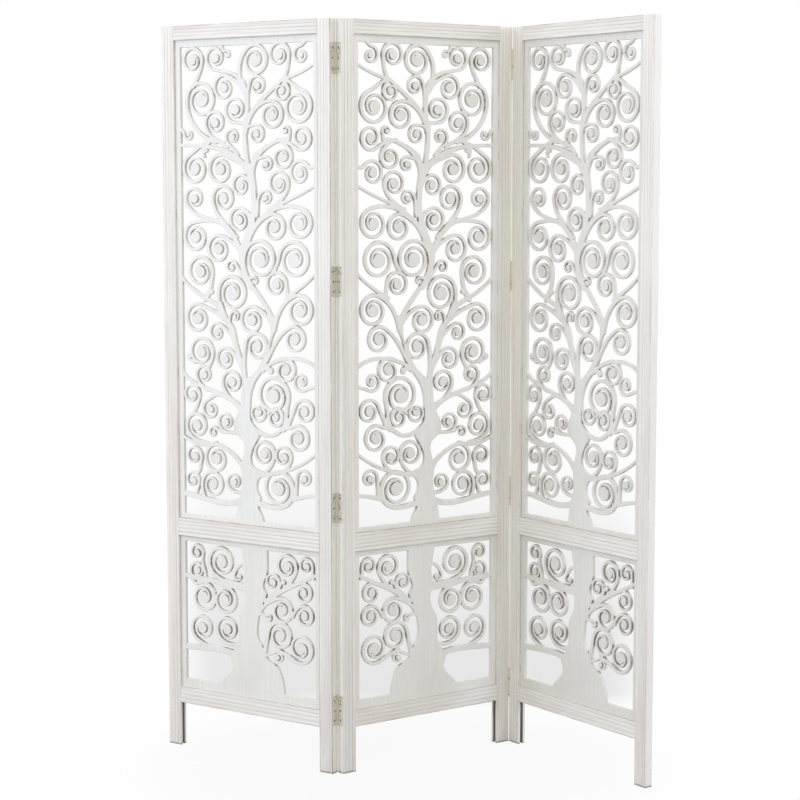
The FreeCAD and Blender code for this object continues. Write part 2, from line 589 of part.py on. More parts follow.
# Widths of a curl's band, of the bud in its middle and of the gap between its turns: plain ones as shares of
# the opening's width, and growth, bud, turns and tip as shares of the curl's own radius, band or turn.
thinnest_band_share = 0.016
thickest_band_share = 0.0246
plain_band_share = 0.0135
band_growth_share = 0.1
turn_gap_share = 0.0074
turn_gap_growth_share = 0.12
bud_share = 0.35
bud_to_band_share = 0.8
band_tip_share = 0.6
tip_overlap_share = 0.0007
smallest_rim_share = 0.04
least_turns_share = 0.75
COILING = 1.4
STEM_PULL = 1.1
BRANCH_PULL = 1.0
STEPS_PER_TURN = 14
LEAST_STEPS = 10
STEM_STEPS = 8
BRANCH_STEPS = 12
BUD_POINTS = 12


def heading(angle, length=1):
    """A flat vector of an angle in degrees and a length."""
    return Vector(length * math.cos(math.radians(angle)), length * math.sin(math.radians(angle)), 0)


def path(start, start_angle, end, end_angle, pull, steps):
    """Points of a smooth path that leaves and arrives in the given directions."""
    reach = pull * (end - start).Length
    points = []
    for step in range(steps + 1):
        u = step / steps
        points.append(
            start * (2 * u ** 3 - 3 * u ** 2 + 1)
            + heading(start_angle, reach) * (u ** 3 - 2 * u ** 2 + u)
            + end * (3 * u ** 2 - 2 * u ** 3)
            + heading(end_angle, reach) * (u ** 3 - u ** 2)
        )
    return points


def edge_curve(points, closed=False):
    """A smooth edge through points."""
    spline = Part.BSplineCurve()
    spline.interpolate(points, PeriodicFlag=closed)
    return spline.toShape()


class Opening:
    """The opening of one board, which its pattern fills; a point of the pattern is in shares of its width."""

    def __init__(self, left, foot, width, height, depth, round_share):
        self.left = left
        self.foot = foot
        self.width = width
        self.height = height
        self.depth = depth
        self.round_share = round_share

    def spot(self, across, up):
        """A table's place in the pattern's own measure."""
        return Vector(across, up / self.round_share, 0)

    def place(self, point):
        """A point of the pattern on the front face of the board."""
        across = self.left + point.x * self.width
        return Vector(across, self.depth, self.foot + point.y * self.round_share * self.height)

    def outline(self, *sides):
        """A face between smooth sides, which straight edges join in turn."""
        edges = []
        for index, side in enumerate(sides):
            following = sides[(index + 1) % len(sides)]
            edges.append(edge_curve([self.place(self.spot(*point)) for point in side]))
            corner = self.place(self.spot(*following[0]))
            edges.append(Part.makeLine(self.place(self.spot(*side[-1])), corner))
        return Part.Face(Part.Wire(edges))

    def band(self, points, widths):
        """A face along a path, as wide as given at each of its points, with round ends."""
        near = []
        far = []
        tips = []
        for index, point in enumerate(points):
            along = (points[min(index + 1, len(points) - 1)] - points[max(index - 1, 0)]).normalize()
            across = Vector(-along.y, along.x, 0) * (widths[index] / 2)
            near.append(self.place(point + across))
            far.append(self.place(point - across))
            tips.append(along * (widths[index] / 2))
        start_tip = self.place(points[0] - tips[0])
        end_tip = self.place(points[-1] + tips[-1])
        edges = [
            edge_curve(near),
            Part.Arc(near[-1], end_tip, far[-1]).toShape(),
            edge_curve(far),
            Part.Arc(far[0], start_tip, near[0]).toShape(),
        ]
        return Part.Face(Part.Wire(Part.__sortEdges__(edges)))

    def bud(self, middle, radius):
        """A round face."""
        points = [self.place(middle + heading(360 * step / BUD_POINTS, radius)) for step in range(BUD_POINTS)]
        return Part.Face(Part.Wire([edge_curve(points, closed=True)]))

    def curl(self, across, up, radius, way, entry, stem_across, stem_up, stem_angle, stem_width):
        """Faces of a curl: its stem and coil as one band, and the bud that it ends in."""
        middle = self.spot(across, up)
        width = max(thinnest_band_share, plain_band_share + band_growth_share * radius)
        width = min(thickest_band_share, width)
        bud_radius = max(bud_share * radius, bud_to_band_share * width)
        step_in = width + turn_gap_share + turn_gap_growth_share * radius
        turns = max(least_turns_share, (radius - bud_radius) / step_in)
        tip_width = band_tip_share * width
        outer = radius - width / 2
        inner = bud_radius - tip_width / 2 - tip_overlap_share
        foot = self.spot(stem_across, stem_up)
        mouth = middle + heading(entry, outer)
        points = path(foot, stem_angle, mouth, entry + way * 90, STEM_PULL, STEM_STEPS)[:-1]
        widths = [stem_width + (width - stem_width) * step / STEM_STEPS for step in range(STEM_STEPS)]
        steps = max(LEAST_STEPS, int(STEPS_PER_TURN * turns))
        for step in range(steps + 1):
            u = step / steps
            reach = outer + (inner - outer) * u ** COILING
            points.append(middle + heading(entry + way * 360 * turns * u, reach))
            widths.append(width + (tip_width - width) * u)
        return [self.band(points, widths), self.bud(middle, bud_radius)]

    def branch(self, across, up, angle, end_across, end_up, end_angle, width, end_width):
        """The face of a branch."""
        start = self.spot(across, up)
        end = self.spot(end_across, end_up)
        points = path(start, angle, end, end_angle, BRANCH_PULL, BRANCH_STEPS)
        widths = [width + (end_width - width) * step / BRANCH_STEPS for step in range(BRANCH_STEPS + 1)]
        return self.band(points, widths)


def rectangle(left, foot, width, height, depth):
    """A flat upright rectangle."""
    corners = [
        Vector(left, depth, foot), Vector(left + width, depth, foot),
        Vector(left + width, depth, foot + height), Vector(left, depth, foot + height),
    ]
    return Part.Face(Part.makePolygon(corners + corners[:1]))


def outer_face(fused, width):
    """One face with the outline and the openings of many faces that share edges."""
    uses = {}
    for face in fused.Faces:
        for edge in face.Edges:
            uses.setdefault(edge.hashCode(), []).append(edge)
    rims = [edges[0] for edges in uses.values() if len(edges) == 1]
    wires = [Part.Wire(edges) for edges in Part.sortEdges(rims)]
    kept = [wire for wire in wires if wire.Length > smallest_rim_share * width]
    return Part.makeFace(kept, "Part::FaceMakerBullseye")


def pierced_board(low, high, foot_border, top_border, round_share, curls, branches, trunks):
    """A board with its edges in the grooves of its frame and the scroll pattern in its opening."""
    side = size("stile_width")
    seat = size("board_seat")
    border = size("side_border")
    depth = (frame_thickness - size("board_thickness")) / 2
    opening = Opening(
        side + border, low + foot_border, panel_width - 2 * (side + border),
        high - low - foot_border - top_border, depth, round_share,
    )
    whole = rectangle(side - seat, low - seat, panel_width - 2 * (side - seat), high - low + 2 * seat, depth)
    hole = rectangle(opening.left, opening.foot, opening.width, opening.height, depth)
    faces = []
    for row in curls:
        faces += opening.curl(*row)
    for row in branches:
        faces.append(opening.branch(*row))
    for sides in trunks:
        faces.append(opening.outline(*sides))
    fused = whole.cut(hole).Faces[0].multiFuse(faces).common(whole)
    return outer_face(fused, opening.width).extrude(Vector(0, size("board_thickness"), 0))


def boards(part, low, high, *pattern):
    """The boards of one part of all three panels; the outer two are turned over."""
    board = pierced_board(low, high, *pattern)
    turned = board.mirror(Vector(panel_width / 2, 0, 0), Vector(1, 0, 0))
    for panel, shape, placement in (
        ("left", turned, left_place),
        ("centre", board, centre_place),
        ("right", turned, right_place),
    ):
        item = document.addObject("Part::Feature", "%s_%s_board" % (panel, part))
        item.Shape = shape
        finish(item, "%s_%s_fretwork" % (panel, part), placement)


middle_rail_level = size("middle_rail_level")
boards(
    "lower", size("leg_height") + size("bottom_rail_height"), middle_rail_level,
    size("lower_foot_border"), size("lower_top_border"), lower_round_share,
    lower_curl_shares, lower_branch_shares, (lower_trunk_shares,),
)
boards(
    "upper", middle_rail_level + size("middle_rail_height"), size("screen_height") - size("top_rail_height"),
    size("upper_foot_border"), size("upper_top_border"), upper_round_share,
    upper_curl_shares, upper_branch_shares, (upper_trunk_shares, upper_stem_shares),
)

document.recompute()
for item in document.Objects:
    if "Invalid" in item.State or "Error" in item.State:
        raise RuntimeError("not built: " + item.Label)
for item in finished:
    if item.Shape.isNull() or not item.Shape.isValid():
        raise RuntimeError("not a sound shape: " + item.Label)

os.makedirs("parts", exist_ok=True)
for item in finished:
    item.Shape.exportStep("parts/%s.step" % item.Label)
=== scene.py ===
"""The painted, carved and moulded pieces of a three-panel jali screen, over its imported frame."""

import json
from math import pi, radians, sin

import bmesh
import bpy
from bpy.props import FloatProperty, FloatVectorProperty, IntProperty, PointerProperty
from mathutils import Matrix, Vector
from mathutils.bvhtree import BVHTree


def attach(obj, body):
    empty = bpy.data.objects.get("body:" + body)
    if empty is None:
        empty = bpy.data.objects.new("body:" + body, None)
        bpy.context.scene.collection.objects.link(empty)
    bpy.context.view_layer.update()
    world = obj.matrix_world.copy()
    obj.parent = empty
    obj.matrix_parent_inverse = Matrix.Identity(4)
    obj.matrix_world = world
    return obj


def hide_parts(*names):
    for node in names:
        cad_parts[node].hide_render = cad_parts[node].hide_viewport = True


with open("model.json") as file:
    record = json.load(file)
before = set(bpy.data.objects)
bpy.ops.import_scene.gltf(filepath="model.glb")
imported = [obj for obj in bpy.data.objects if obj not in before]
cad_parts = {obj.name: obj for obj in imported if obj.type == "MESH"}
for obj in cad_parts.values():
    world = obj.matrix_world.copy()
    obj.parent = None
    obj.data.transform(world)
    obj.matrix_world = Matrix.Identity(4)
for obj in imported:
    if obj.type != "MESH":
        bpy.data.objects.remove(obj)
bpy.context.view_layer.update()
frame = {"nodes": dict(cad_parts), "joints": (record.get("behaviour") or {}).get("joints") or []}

bl_info = {
    "name": "Carved Jali Screen",
    "version": (1, 0, 0),
    "blender": (4, 5, 0),
    "location": "View3D > Sidebar > Jali Screen",
    "description": "Builds the carved boards, the reeded frames and the aged hinges of a folding screen",
    "category": "Object",
}

PANEL_WIDTH = 0.517
FRAME_THICKNESS = 0.022
HINGE_SIDE_GAP = 0.0004
HINGE_STAND_OFF = 0.0005
JOINT_PLACES = {joint["name"]: Vector(joint["pos_m"]) for joint in frame["joints"]}
# How each panel stands: the joint that it hangs on, where that joint lies along the panel and behind its
# front, and the panel's turn.
PANELS = {
    "left": ("left_fold", PANEL_WIDTH + HINGE_SIDE_GAP, FRAME_THICKNESS + HINGE_STAND_OFF, radians(-33.5)),
    "centre": ("left_fold", -HINGE_SIDE_GAP, FRAME_THICKNESS + HINGE_STAND_OFF, radians(35.5)),
    "right": ("right_fold", -HINGE_SIDE_GAP, -HINGE_STAND_OFF, radians(-54)),
}
# How far each board's paint is worn in its narrow places, partly as painted shade, and how thin it is all
# over: the thin paint is painted shade on the lower boards and the right panel's boards.
BOARD_WEAR_AND_SHADE = {
    "left_upper": (-0.05, 0),
    "left_lower": (0.14, 0.25),
    "centre_upper": (0.1, 0),
    "centre_lower": (0.1, 0),
    "right_upper": (0, 0.45),
    "right_lower": (0.2, 0.6),
}
FRAME_WEAR = 0.02
# How far the arrises are rubbed bare: 0.8 is here and there, and 1.4 or more is nearly all along.
STILE_RUBBING = 0.8
# The rails' arrises are rubbed more: worn paint, and a painted shadow line along the rails.
RAIL_RUBBING_AND_SHADOW = 1.6
# The stile at the left joint stands out to the front, so it was knocked more.
KNOCKED_STILE = "left_right_stile"
KNOCKED_RUBBING = 2
# How far behind a frame's faces the grooves begin that hold the boards, then the dirt along their mouths, and
# the value that leaves their insides unpainted.
BOARD_GROOVE_DEPTH = 0.0065
MOUTH_DIRT = 1
UNPAINTED = 3
# Rubbing along the top of a reed and its loss over the depth of the reeds, then the dark line between two
# reeds, dirt with painted shade, and the power of the depth that it grows with.
REED_RUBBING = 0.5
REED_RUBBING_LOSS = 2
REED_DIRT_AND_SHADE = 0.8
REED_DIRT_AND_SHADE_POWER = 4
# How far along y the grain of the rails is moved, so that they don't repeat the marks of the stiles.
RAIL_GRAIN_SHIFT = 0.3
TOUCHING = 0.00001
# The longest move of a corner of an outline, as a share of the rounding. A corner moves by the rounding
# over the cosine of half its turn, which counts as no less than the second value.
LONGEST_MOVE = 1.5
LEAST_COSINE = 0.5
# How the moves are shortened where they would turn a face over: to this share, up to so many times.
SHORTENING = 0.75
SHORTENING_ROUNDS = 14
# Cuts round the wall of each opening, between a board's faces, and the number of the last row of vertices.
WALL_CUTS = 4
LAST_ROW = WALL_CUTS + 1
# An opening is wide from this width, and a slit at this much less. The look across starts just off the wall.
WIDE_OPENING = 0.022
SLIT_DIFFERENCE = 0.017
FARTHEST_LOOK = 0.03
OFF_THE_WALL = 0.0003
# Dirt and rubbing on the rim of a wide opening, as shares of those on a slit. The slits are darker: painted
# shade where little light gets in.
WIDE_DIRT_AND_SHADE = 0.25
WIDE_RUBBING_AND_SHADE = 0.3
# How far a surface bends at an edge that stays sharp.
BOARD_SHARPNESS = radians(40)
FRAME_SHARPNESS = radians(35)
ARRIS_BEND = radians(60)
# How much of each kind of hinge part is still painted.
LEAF_PAINT = 0.48
PIN_PAINT = 0.45
SCREW_PAINT = 0.12
# The width of the marks on the paint over their length along the grain.
BOARD_MARKS = 1
FRAME_MARKS = 0.25
# Where each lamp hangs and the side of its square; all of them aim at the middle of the screen.
LAMPS = {
    "key": ((-4.2, -1.8, 2.5), 2.2),
    "front": ((-3, -3.6, 2), 2.2),
    "top": ((1, -2.2, 3.6), 1.6),
    "side": ((4.6, -0.4, 2), 1.6),
}
LAMP_AIM = Vector((0, 0, 0.9))
FLOOR_REACH = 14
FLOOR_TONES = ((0.52, 0.52, 0.53), (0.48, 0.48, 0.49))
# The painted shadow on the floor lies behind the screen and widens away from the viewer, so that it shows
# through the openings: the distances behind the middle over which it sets in and fades, and its shares of
# grey.
ZONE_START = (0.48, 0.74)
ZONE_FADING = (0.8, 6)
ZONE_GREY = (0.43, 0.04)
# How far in front of the middle its sides meet, then the slopes of its middle and of its soft sides.
ZONE_MEETING = 5
ZONE_MIDDLE = 0.0055
ZONE_SIDES = (0.096, 0.122)
# The soft shade round the feet: the distances over which it fades, and its share of grey.
FEET_FADING = (0.3, 0.9)
FEET_GREY = 0.1


class CarvingSizes(bpy.types.PropertyGroup):
    """Sizes of the carving and of the mouldings."""

    rim_rounding: FloatProperty(
        name="Rim Rounding", description="Radius of the rubbed edge round each opening of a board",
        default=0.0016, min=0.0002, max=0.003, precision=4, unit="LENGTH")
    reed_width: FloatProperty(
        name="Reed Width", description="Width of one reed of a moulding, near enough",
        default=0.0095, min=0.004, max=0.02, precision=4, unit="LENGTH")
    reed_depth: FloatProperty(
        name="Reed Depth", description="Depth of the grooves between the reeds",
        default=0.0008, min=0.0003, max=0.003, precision=4, unit="LENGTH")
    reed_steps: IntProperty(
        name="Reed Steps", description="Flats that make up the round of one reed", default=6, min=4, max=12)
    corner_rounding: FloatProperty(
        name="Corner Rounding", description="Radius of the long edges of the stiles, and reach of an arris",
        default=0.0004, min=0.0002, max=0.003, precision=4, unit="LENGTH")
    wear_width: FloatProperty(
        name="Wear Width", description="How far from an arris the paint may be rubbed off",
        default=0.002, min=0.001, max=0.004, precision=4, unit="LENGTH")


class FinishColours(bpy.types.PropertyGroup):
    """Colours of the paint and of what shows through it."""

    board_paint: FloatVectorProperty(
        name="Board Paint", description="Antique white paint of the carved boards",
        subtype="COLOR", size=3, default=(0.84, 0.84, 0.81))
    frame_paint: FloatVectorProperty(
        name="Frame Paint", description="Antique white paint of the frames, a little warmer",
        subtype="COLOR", size=3, default=(0.85, 0.835, 0.785))
    thin_paint: FloatVectorProperty(
        name="Thin Paint", description="Paint where the brush left it thin",
        subtype="COLOR", size=3, default=(0.71, 0.7, 0.64))
    rubbed_paint: FloatVectorProperty(
        name="Rubbed Paint", description="Paint rubbed down over a crest, warmed by the wood below it",
        subtype="COLOR", size=3, default=(0.74, 0.655, 0.60))
    # The glaze colour also paints the shade in the narrow slits of the boards and in the lines between the
    # reeds.
    glaze_and_shade: FloatVectorProperty(
        name="Glaze", description="Grey-brown glaze that stays in the grooves",
        subtype="COLOR", size=3, default=(0.36, 0.33, 0.29))
    bare_wood: FloatVectorProperty(
        name="Bare Wood", description="Wood that shows where the paint is rubbed through",
        subtype="COLOR", size=3, default=(0.20, 0.165, 0.135))
    hinge_paint: FloatVectorProperty(
        name="Hinge Paint", description="Paint over the hinge leaves, tinged by the brass",
        subtype="COLOR", size=3, default=(0.68, 0.66, 0.56))
    brass: FloatVectorProperty(
        name="Brass", description="Dull brass of the hinges and screws",
        subtype="COLOR", size=3, default=(0.46, 0.40, 0.27))


class StudioSettings(bpy.types.PropertyGroup):
    """Place of the camera, and the lamps."""

    camera_place: FloatVectorProperty(
        name="Camera Place", description="Where the camera stands", subtype="TRANSLATION", unit="LENGTH",
        size=3, default=(-0.0038, -4.9988, 1.4474))
    camera_pitch: FloatProperty(
        name="Camera Pitch", description="How far the camera looks down", subtype="ANGLE",
        default=radians(6.107))
    lens: FloatProperty(
        name="Lens", description="Focal length on a 36 mm sensor", default=92.15, min=20, max=200)
    key_power: FloatProperty(
        name="Key Lamp", description="Power of the large lamp at the left", default=63, unit="POWER")
    front_power: FloatProperty(
        name="Front Lamp", description="Power of the lamp at the front", default=12, unit="POWER")
    side_power: FloatProperty(
        name="Side Lamp", description="Power of the lamp at the right", default=60, unit="POWER")
    top_power: FloatProperty(
        name="Top Lamp", description="Power of the lamp high over the front", default=9, unit="POWER")
    sky: FloatProperty(
        name="Sky", description="Strength of the even light from all round", default=0.97, min=0, max=2)
    key_colour: FloatVectorProperty(
        name="Key Colour", description="Colour of the lamps at the left and the right", subtype="COLOR",
        size=3, default=(0.67, 0.73, 1))
    room_colour: FloatVectorProperty(
        name="Room Colour", description="Colour of the even light and of the front and top lamps",
        subtype="COLOR", size=3, default=(1, 0.99, 0.945))


def panel_place(panel):
    """The matrix from a panel's own frame to the screen's.

    In its own frame x runs along the panel, and y from its front to its back.
    """
    joint, along, behind, turn = PANELS[panel]
    own_axis = Matrix.Translation((-along, -behind, 0))
    return Matrix.Translation(JOINT_PLACES[joint]) @ Matrix.Rotation(turn, 4, "Z") @ own_axis


def cad_copy(node, place):
    """A merged copy of a CAD node's mesh, in its panel's own frame."""
    bm = bmesh.new()
    bm.from_mesh(frame["nodes"][node].data)
    bmesh.ops.transform(bm, matrix=place.inverted(), verts=bm.verts)
    bmesh.ops.remove_doubles(bm, verts=bm.verts, dist=TOUCHING)
    return bm


def layers(bm):
    """The attributes that the paint reads: place along the grain, rubbed crests, and grooves with their dirt
    and painted shade; on the board rims and the rails the rubbing paints shade too.
    """
    return (
        bm.verts.layers.float_vector.new("place"),
        bm.verts.layers.float.new("crest"),
        bm.verts.layers.float.new("groove_dirt_and_shade"),
    )


def finished_piece(name, bm, place, material, body, node):
    """Makes the piece of a bmesh that is in a panel's own frame, riding on a body in place of a CAD node."""
    bmesh.ops.transform(bm, matrix=place, verts=bm.verts)
    bmesh.ops.recalc_face_normals(bm, faces=bm.faces)
    mesh = bpy.data.meshes.new(name)
    bm.to_mesh(mesh)
    bm.free()
    mesh.materials.append(material)
    piece = bpy.data.objects.new(name, mesh)
    bpy.context.scene.collection.objects.link(piece)
    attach(piece, body)
    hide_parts(node)


def sharpen(bm, angle):
    """Smooth faces, with sharp edges where the surface bends by more than an angle."""
    for face in bm.faces:
        face.smooth = True
    for edge in bm.edges:
        edge.smooth = len(edge.link_faces) == 2 and edge.calc_face_angle(pi) < angle


def rim_directions(bm, outside):
    """The layer of moves that round the edge of each opening, for the vertices on its outline."""
    inward = bm.verts.layers.float_vector.new("inward")
    facing = Vector((0, -1, 0))
    for vert in bm.verts:
        rims = [edge for edge in vert.link_edges if edge.is_boundary]
        if outside(vert) or not rims:
            continue
        sides = []
        for edge in rims:
            loop = edge.link_loops[0]
            sides.append(facing.cross(loop.link_loop_next.vert.co - loop.vert.co).normalized())
        middle = sum(sides, Vector()).normalized()
        vert[inward] = middle * min(LONGEST_MOVE, 1 / max(LEAST_COSINE, middle.dot(sides[0])))
    return inward


def spare_narrow_places(bm, inward, radius):
    """Shortens the moves round each face that would turn over, where the wood is narrower than two rims."""
    for _ in range(SHORTENING_ROUNDS):
        turned = []
        for face in bm.faces:
            a, b, c = (vert.co + vert[inward] * radius for vert in face.verts)
            if (b - a).cross(c - a).y > TOUCHING ** 2:
                turned.append(face)
        for vert in {vert for face in turned for vert in face.verts}:
            vert[inward] = vert[inward] * SHORTENING


def narrowness(vert, inward, solid_board, middle):
    """How narrow the opening is in front of a vertex of its wall: 1 is a slit, 0 is wide open."""
    away = -vert[inward].normalized()
    start = Vector((vert.co.x, middle, vert.co.z)) + away * OFF_THE_WALL
    distance = solid_board.ray_cast(start, away, FARTHEST_LOOK)[3]
    return 0 if distance is None else max(0, min(1, (WIDE_OPENING - distance) / SLIT_DIFFERENCE))


def carved_board(node, place, sizes):
    """A pierced board with rounded rims, in its panel's own frame, from the front face of its CAD node."""
    bm = cad_copy(node, place)
    front = min(vert.co.y for vert in bm.verts)
    back = max(vert.co.y for vert in bm.verts)
    other_faces = [face for face in bm.faces if max(vert.co.y for vert in face.verts) > front + TOUCHING]
    bmesh.ops.delete(bm, geom=other_faces, context="FACES")
    left = min(vert.co.x for vert in bm.verts)
    right = max(vert.co.x for vert in bm.verts)
    foot = min(vert.co.z for vert in bm.verts)
    top = max(vert.co.z for vert in bm.verts)

    def outside(vert):
        x, _, z = vert.co
        return min(x - left, right - x, z - foot, top - z) < TOUCHING

    radius = sizes.rim_rounding
    inward = rim_directions(bm, outside)
    spare_narrow_places(bm, inward, radius)
    raised = bmesh.ops.extrude_face_region(bm, geom=bm.faces[:])["geom"]
    moved = [part for part in raised if isinstance(part, bmesh.types.BMVert)]
    bmesh.ops.translate(bm, verts=moved, vec=(0, back - front, 0))
    through = [edge for edge in bm.edges if abs(edge.verts[0].co.y - edge.verts[1].co.y) > TOUCHING]
    bmesh.ops.subdivide_edges(bm, edges=through, cuts=WALL_CUTS, use_grid_fill=True)
    grain, crest, groove_dirt_and_shade = layers(bm)
    inward = bm.verts.layers.float_vector["inward"]
    solid_board = BVHTree.FromBMesh(bm)
    rounding = 1 - sin(pi / 4)
    # For each row of vertices from a face to the middle of the wall: its depth and its move into the wood,
    # both as shares of the rounding, and its dirt with painted shade.
    rows = ((0, 1, 0), (rounding, rounding, 0.45), (1, 0, 1))
    for vert in bm.verts:
        row = round(LAST_ROW * (vert.co.y - front) / (back - front))
        from_face = min(row, LAST_ROW - row)
        depth, share, dirt_and_shade = rows[from_face]
        if vert[inward].length:
            narrow = narrowness(vert, inward, solid_board, (front + back) / 2)
            # Narrow slits get darker walls and more rubbed rims than wide openings: painted shade where
            # little light gets in.
            vert[groove_dirt_and_shade] = dirt_and_shade * (WIDE_DIRT_AND_SHADE + (1 - WIDE_DIRT_AND_SHADE) * narrow)
            vert[crest] = WIDE_RUBBING_AND_SHADE + (1 - WIDE_RUBBING_AND_SHADE) * narrow if from_face == 1 else 0
        vert.co.y = front + depth * radius if row == from_face else back - depth * radius
        vert.co += vert[inward] * radius * share
        vert[grain] = vert.co
    sharpen(bm, BOARD_SHARPNESS)
    return bm


def cut(bm, axis, place):
    """Cuts every face along a plane square to an axis, and keeps both sides."""
    spot = Vector((0, 0, 0))
    spot[axis] = place
    normal = Vector((0, 0, 0))
    normal[axis] = 1
    bmesh.ops.bisect_plane(
        bm, geom=bm.verts[:] + bm.edges[:] + bm.faces[:], dist=TOUCHING / 10, plane_co=spot, plane_no=normal)


def moulded_member(node, place, across, sizes):
    """A stile (across is 0) or a rail (across is 2) with its joints, in its panel's own frame.

    Round reeds lie side by side on its front and its back, and the outermost ones are flat up to the arris.
    """
    bm = cad_copy(node, place)
    front = min(vert.co.y for vert in bm.verts)
    back = max(vert.co.y for vert in bm.verts)
    face = [vert.co[across] for vert in bm.verts if vert.co.y < front + TOUCHING]
    low = min(face)
    high = max(face)
    count = max(2, round((high - low) / sizes.reed_width))
    pitch = (high - low) / count
    for step in range(1, count * sizes.reed_steps):
        cut(bm, across, low + step * pitch / sizes.reed_steps)
    cut(bm, 1, front + sizes.wear_width)
    cut(bm, 1, back - sizes.wear_width)
    for vert in bm.verts:
        reeds = (vert.co[across] - low) / pitch
        if min(vert.co.y - front, back - vert.co.y) < TOUCHING and 0.5 < reeds < count - 0.5:
            sink = sizes.reed_depth * (2 * (reeds % 1) - 1) ** 2
            vert.co.y += sink if vert.co.y < front + TOUCHING else -sink
    bmesh.ops.recalc_face_normals(bm, faces=bm.faces)
    foot = min(vert.co.z for vert in bm.verts)
    top = max(vert.co.z for vert in bm.verts)

    def near_arris(vert, reach):
        """Whether a vertex lies near a long arris, where the face meets a side."""
        side = min(vert.co[across] - low, high - vert.co[across])
        depth = min(vert.co.y - front, back - vert.co.y)
        return side < reach and depth < reach

    def at_end(vert):
        """Whether a vertex lies at an end, on the outline of the front or the back."""
        depth = min(vert.co.y - front, back - vert.co.y)
        return min(vert.co.z - foot, top - vert.co.z) < TOUCHING and depth < sizes.reed_depth + TOUCHING

    if across == 0:
        outline = [
            edge for edge in bm.edges
            if all(near_arris(vert, TOUCHING) or at_end(vert) for vert in edge.verts)
            and edge.calc_face_angle(0) > ARRIS_BEND
        ]
        bmesh.ops.bevel(
            bm, geom=outline, offset=sizes.corner_rounding, offset_type="OFFSET", affect="EDGES", segments=2,
            profile=0.5, material=-1, clamp_overlap=True, loop_slide=True)
    sharpen(bm, FRAME_SHARPNESS)
    grain, crest, groove_dirt_and_shade = layers(bm)
    # On the rails the stronger rubbing also paints a shadow line along the arrises.
    if across == 2:
        rubbing = RAIL_RUBBING_AND_SHADOW
    else:
        rubbing = KNOCKED_RUBBING if node == KNOCKED_STILE else STILE_RUBBING
    for vert in bm.verts:
        x, y, z = vert.co
        vert[grain] = (x, y, z) if across == 0 else (z, y + RAIL_GRAIN_SHIFT, x)
        inside = min(vert.co[across] - low, high - vert.co[across])
        depth = min(y - front, back - y)
        if near_arris(vert, 1.1 * sizes.corner_rounding):
            vert[crest] = rubbing
        elif depth < 1.01 * sizes.reed_depth:
            vert[crest] = max(0, REED_RUBBING - REED_RUBBING_LOSS * depth / sizes.reed_depth)
            # The line between two reeds: dirt and painted shade.
            vert[groove_dirt_and_shade] = REED_DIRT_AND_SHADE * min(1, depth / sizes.reed_depth) ** REED_DIRT_AND_SHADE_POWER
        elif abs(depth - BOARD_GROOVE_DEPTH) < 10 * TOUCHING:
            vert[groove_dirt_and_shade] = MOUTH_DIRT if inside < sizes.corner_rounding else UNPAINTED
    return bm


def add_node(tree, kind, settings=None, **inputs):
    """A node with its settings, and with a value or another node's output on each named input."""
    made = tree.nodes.new(kind)
    for name, value in (settings or {}).items():
        setattr(made, name, value)
    for name, value in inputs.items():
        socket = made.inputs[name.replace("_", " ")]
        if isinstance(value, bpy.types.NodeSocket):
            tree.links.new(value, socket)
        else:
            socket.default_value = value
    return made


def mixed(tree, share, first, second):
    """The colour between two colours."""
    made = tree.nodes.new("ShaderNodeMix")
    made.data_type = "RGBA"
    for socket, value in zip((made.inputs[0], made.inputs[6], made.inputs[7]), (share, first, second)):
        if isinstance(value, bpy.types.NodeSocket):
            tree.links.new(value, socket)
        else:
            socket.default_value = value
    return made.outputs[2]


def maths(tree, operation, first, second, clamp=False):
    """The result of one sum on two values."""
    made = tree.nodes.new("ShaderNodeMath")
    made.operation = operation
    made.use_clamp = clamp
    for socket, value in zip(made.inputs, (first, second)):
        if isinstance(value, bpy.types.NodeSocket):
            tree.links.new(value, socket)
        else:
            socket.default_value = value
    return made.outputs[0]


def noise(tree, vector, scale, detail=2, stretch=(1, 1, 1)):
    """A noise pattern of that many spots to the metre, stretched along the grain."""
    mapping = add_node(tree, "ShaderNodeMapping", Vector=vector, Scale=stretch)
    made = add_node(
        tree, "ShaderNodeTexNoise", Vector=mapping.outputs[0], Scale=scale, Detail=detail, Roughness=0.6)
    return made.outputs[0]


def ramp(tree, value, low, high, least=0, most=1):
    """A smooth step from one value to another."""
    made = add_node(
        tree, "ShaderNodeMapRange", {"interpolation_type": "SMOOTHSTEP"}, Value=value, From_Min=low,
        From_Max=high, To_Min=least, To_Max=most)
    return made.outputs[0]


def solid(colour):
    return (*colour, 1)


def new_material(name):
    material = bpy.data.materials.new(name)
    material.use_nodes = True
    material.node_tree.nodes.clear()
    return material


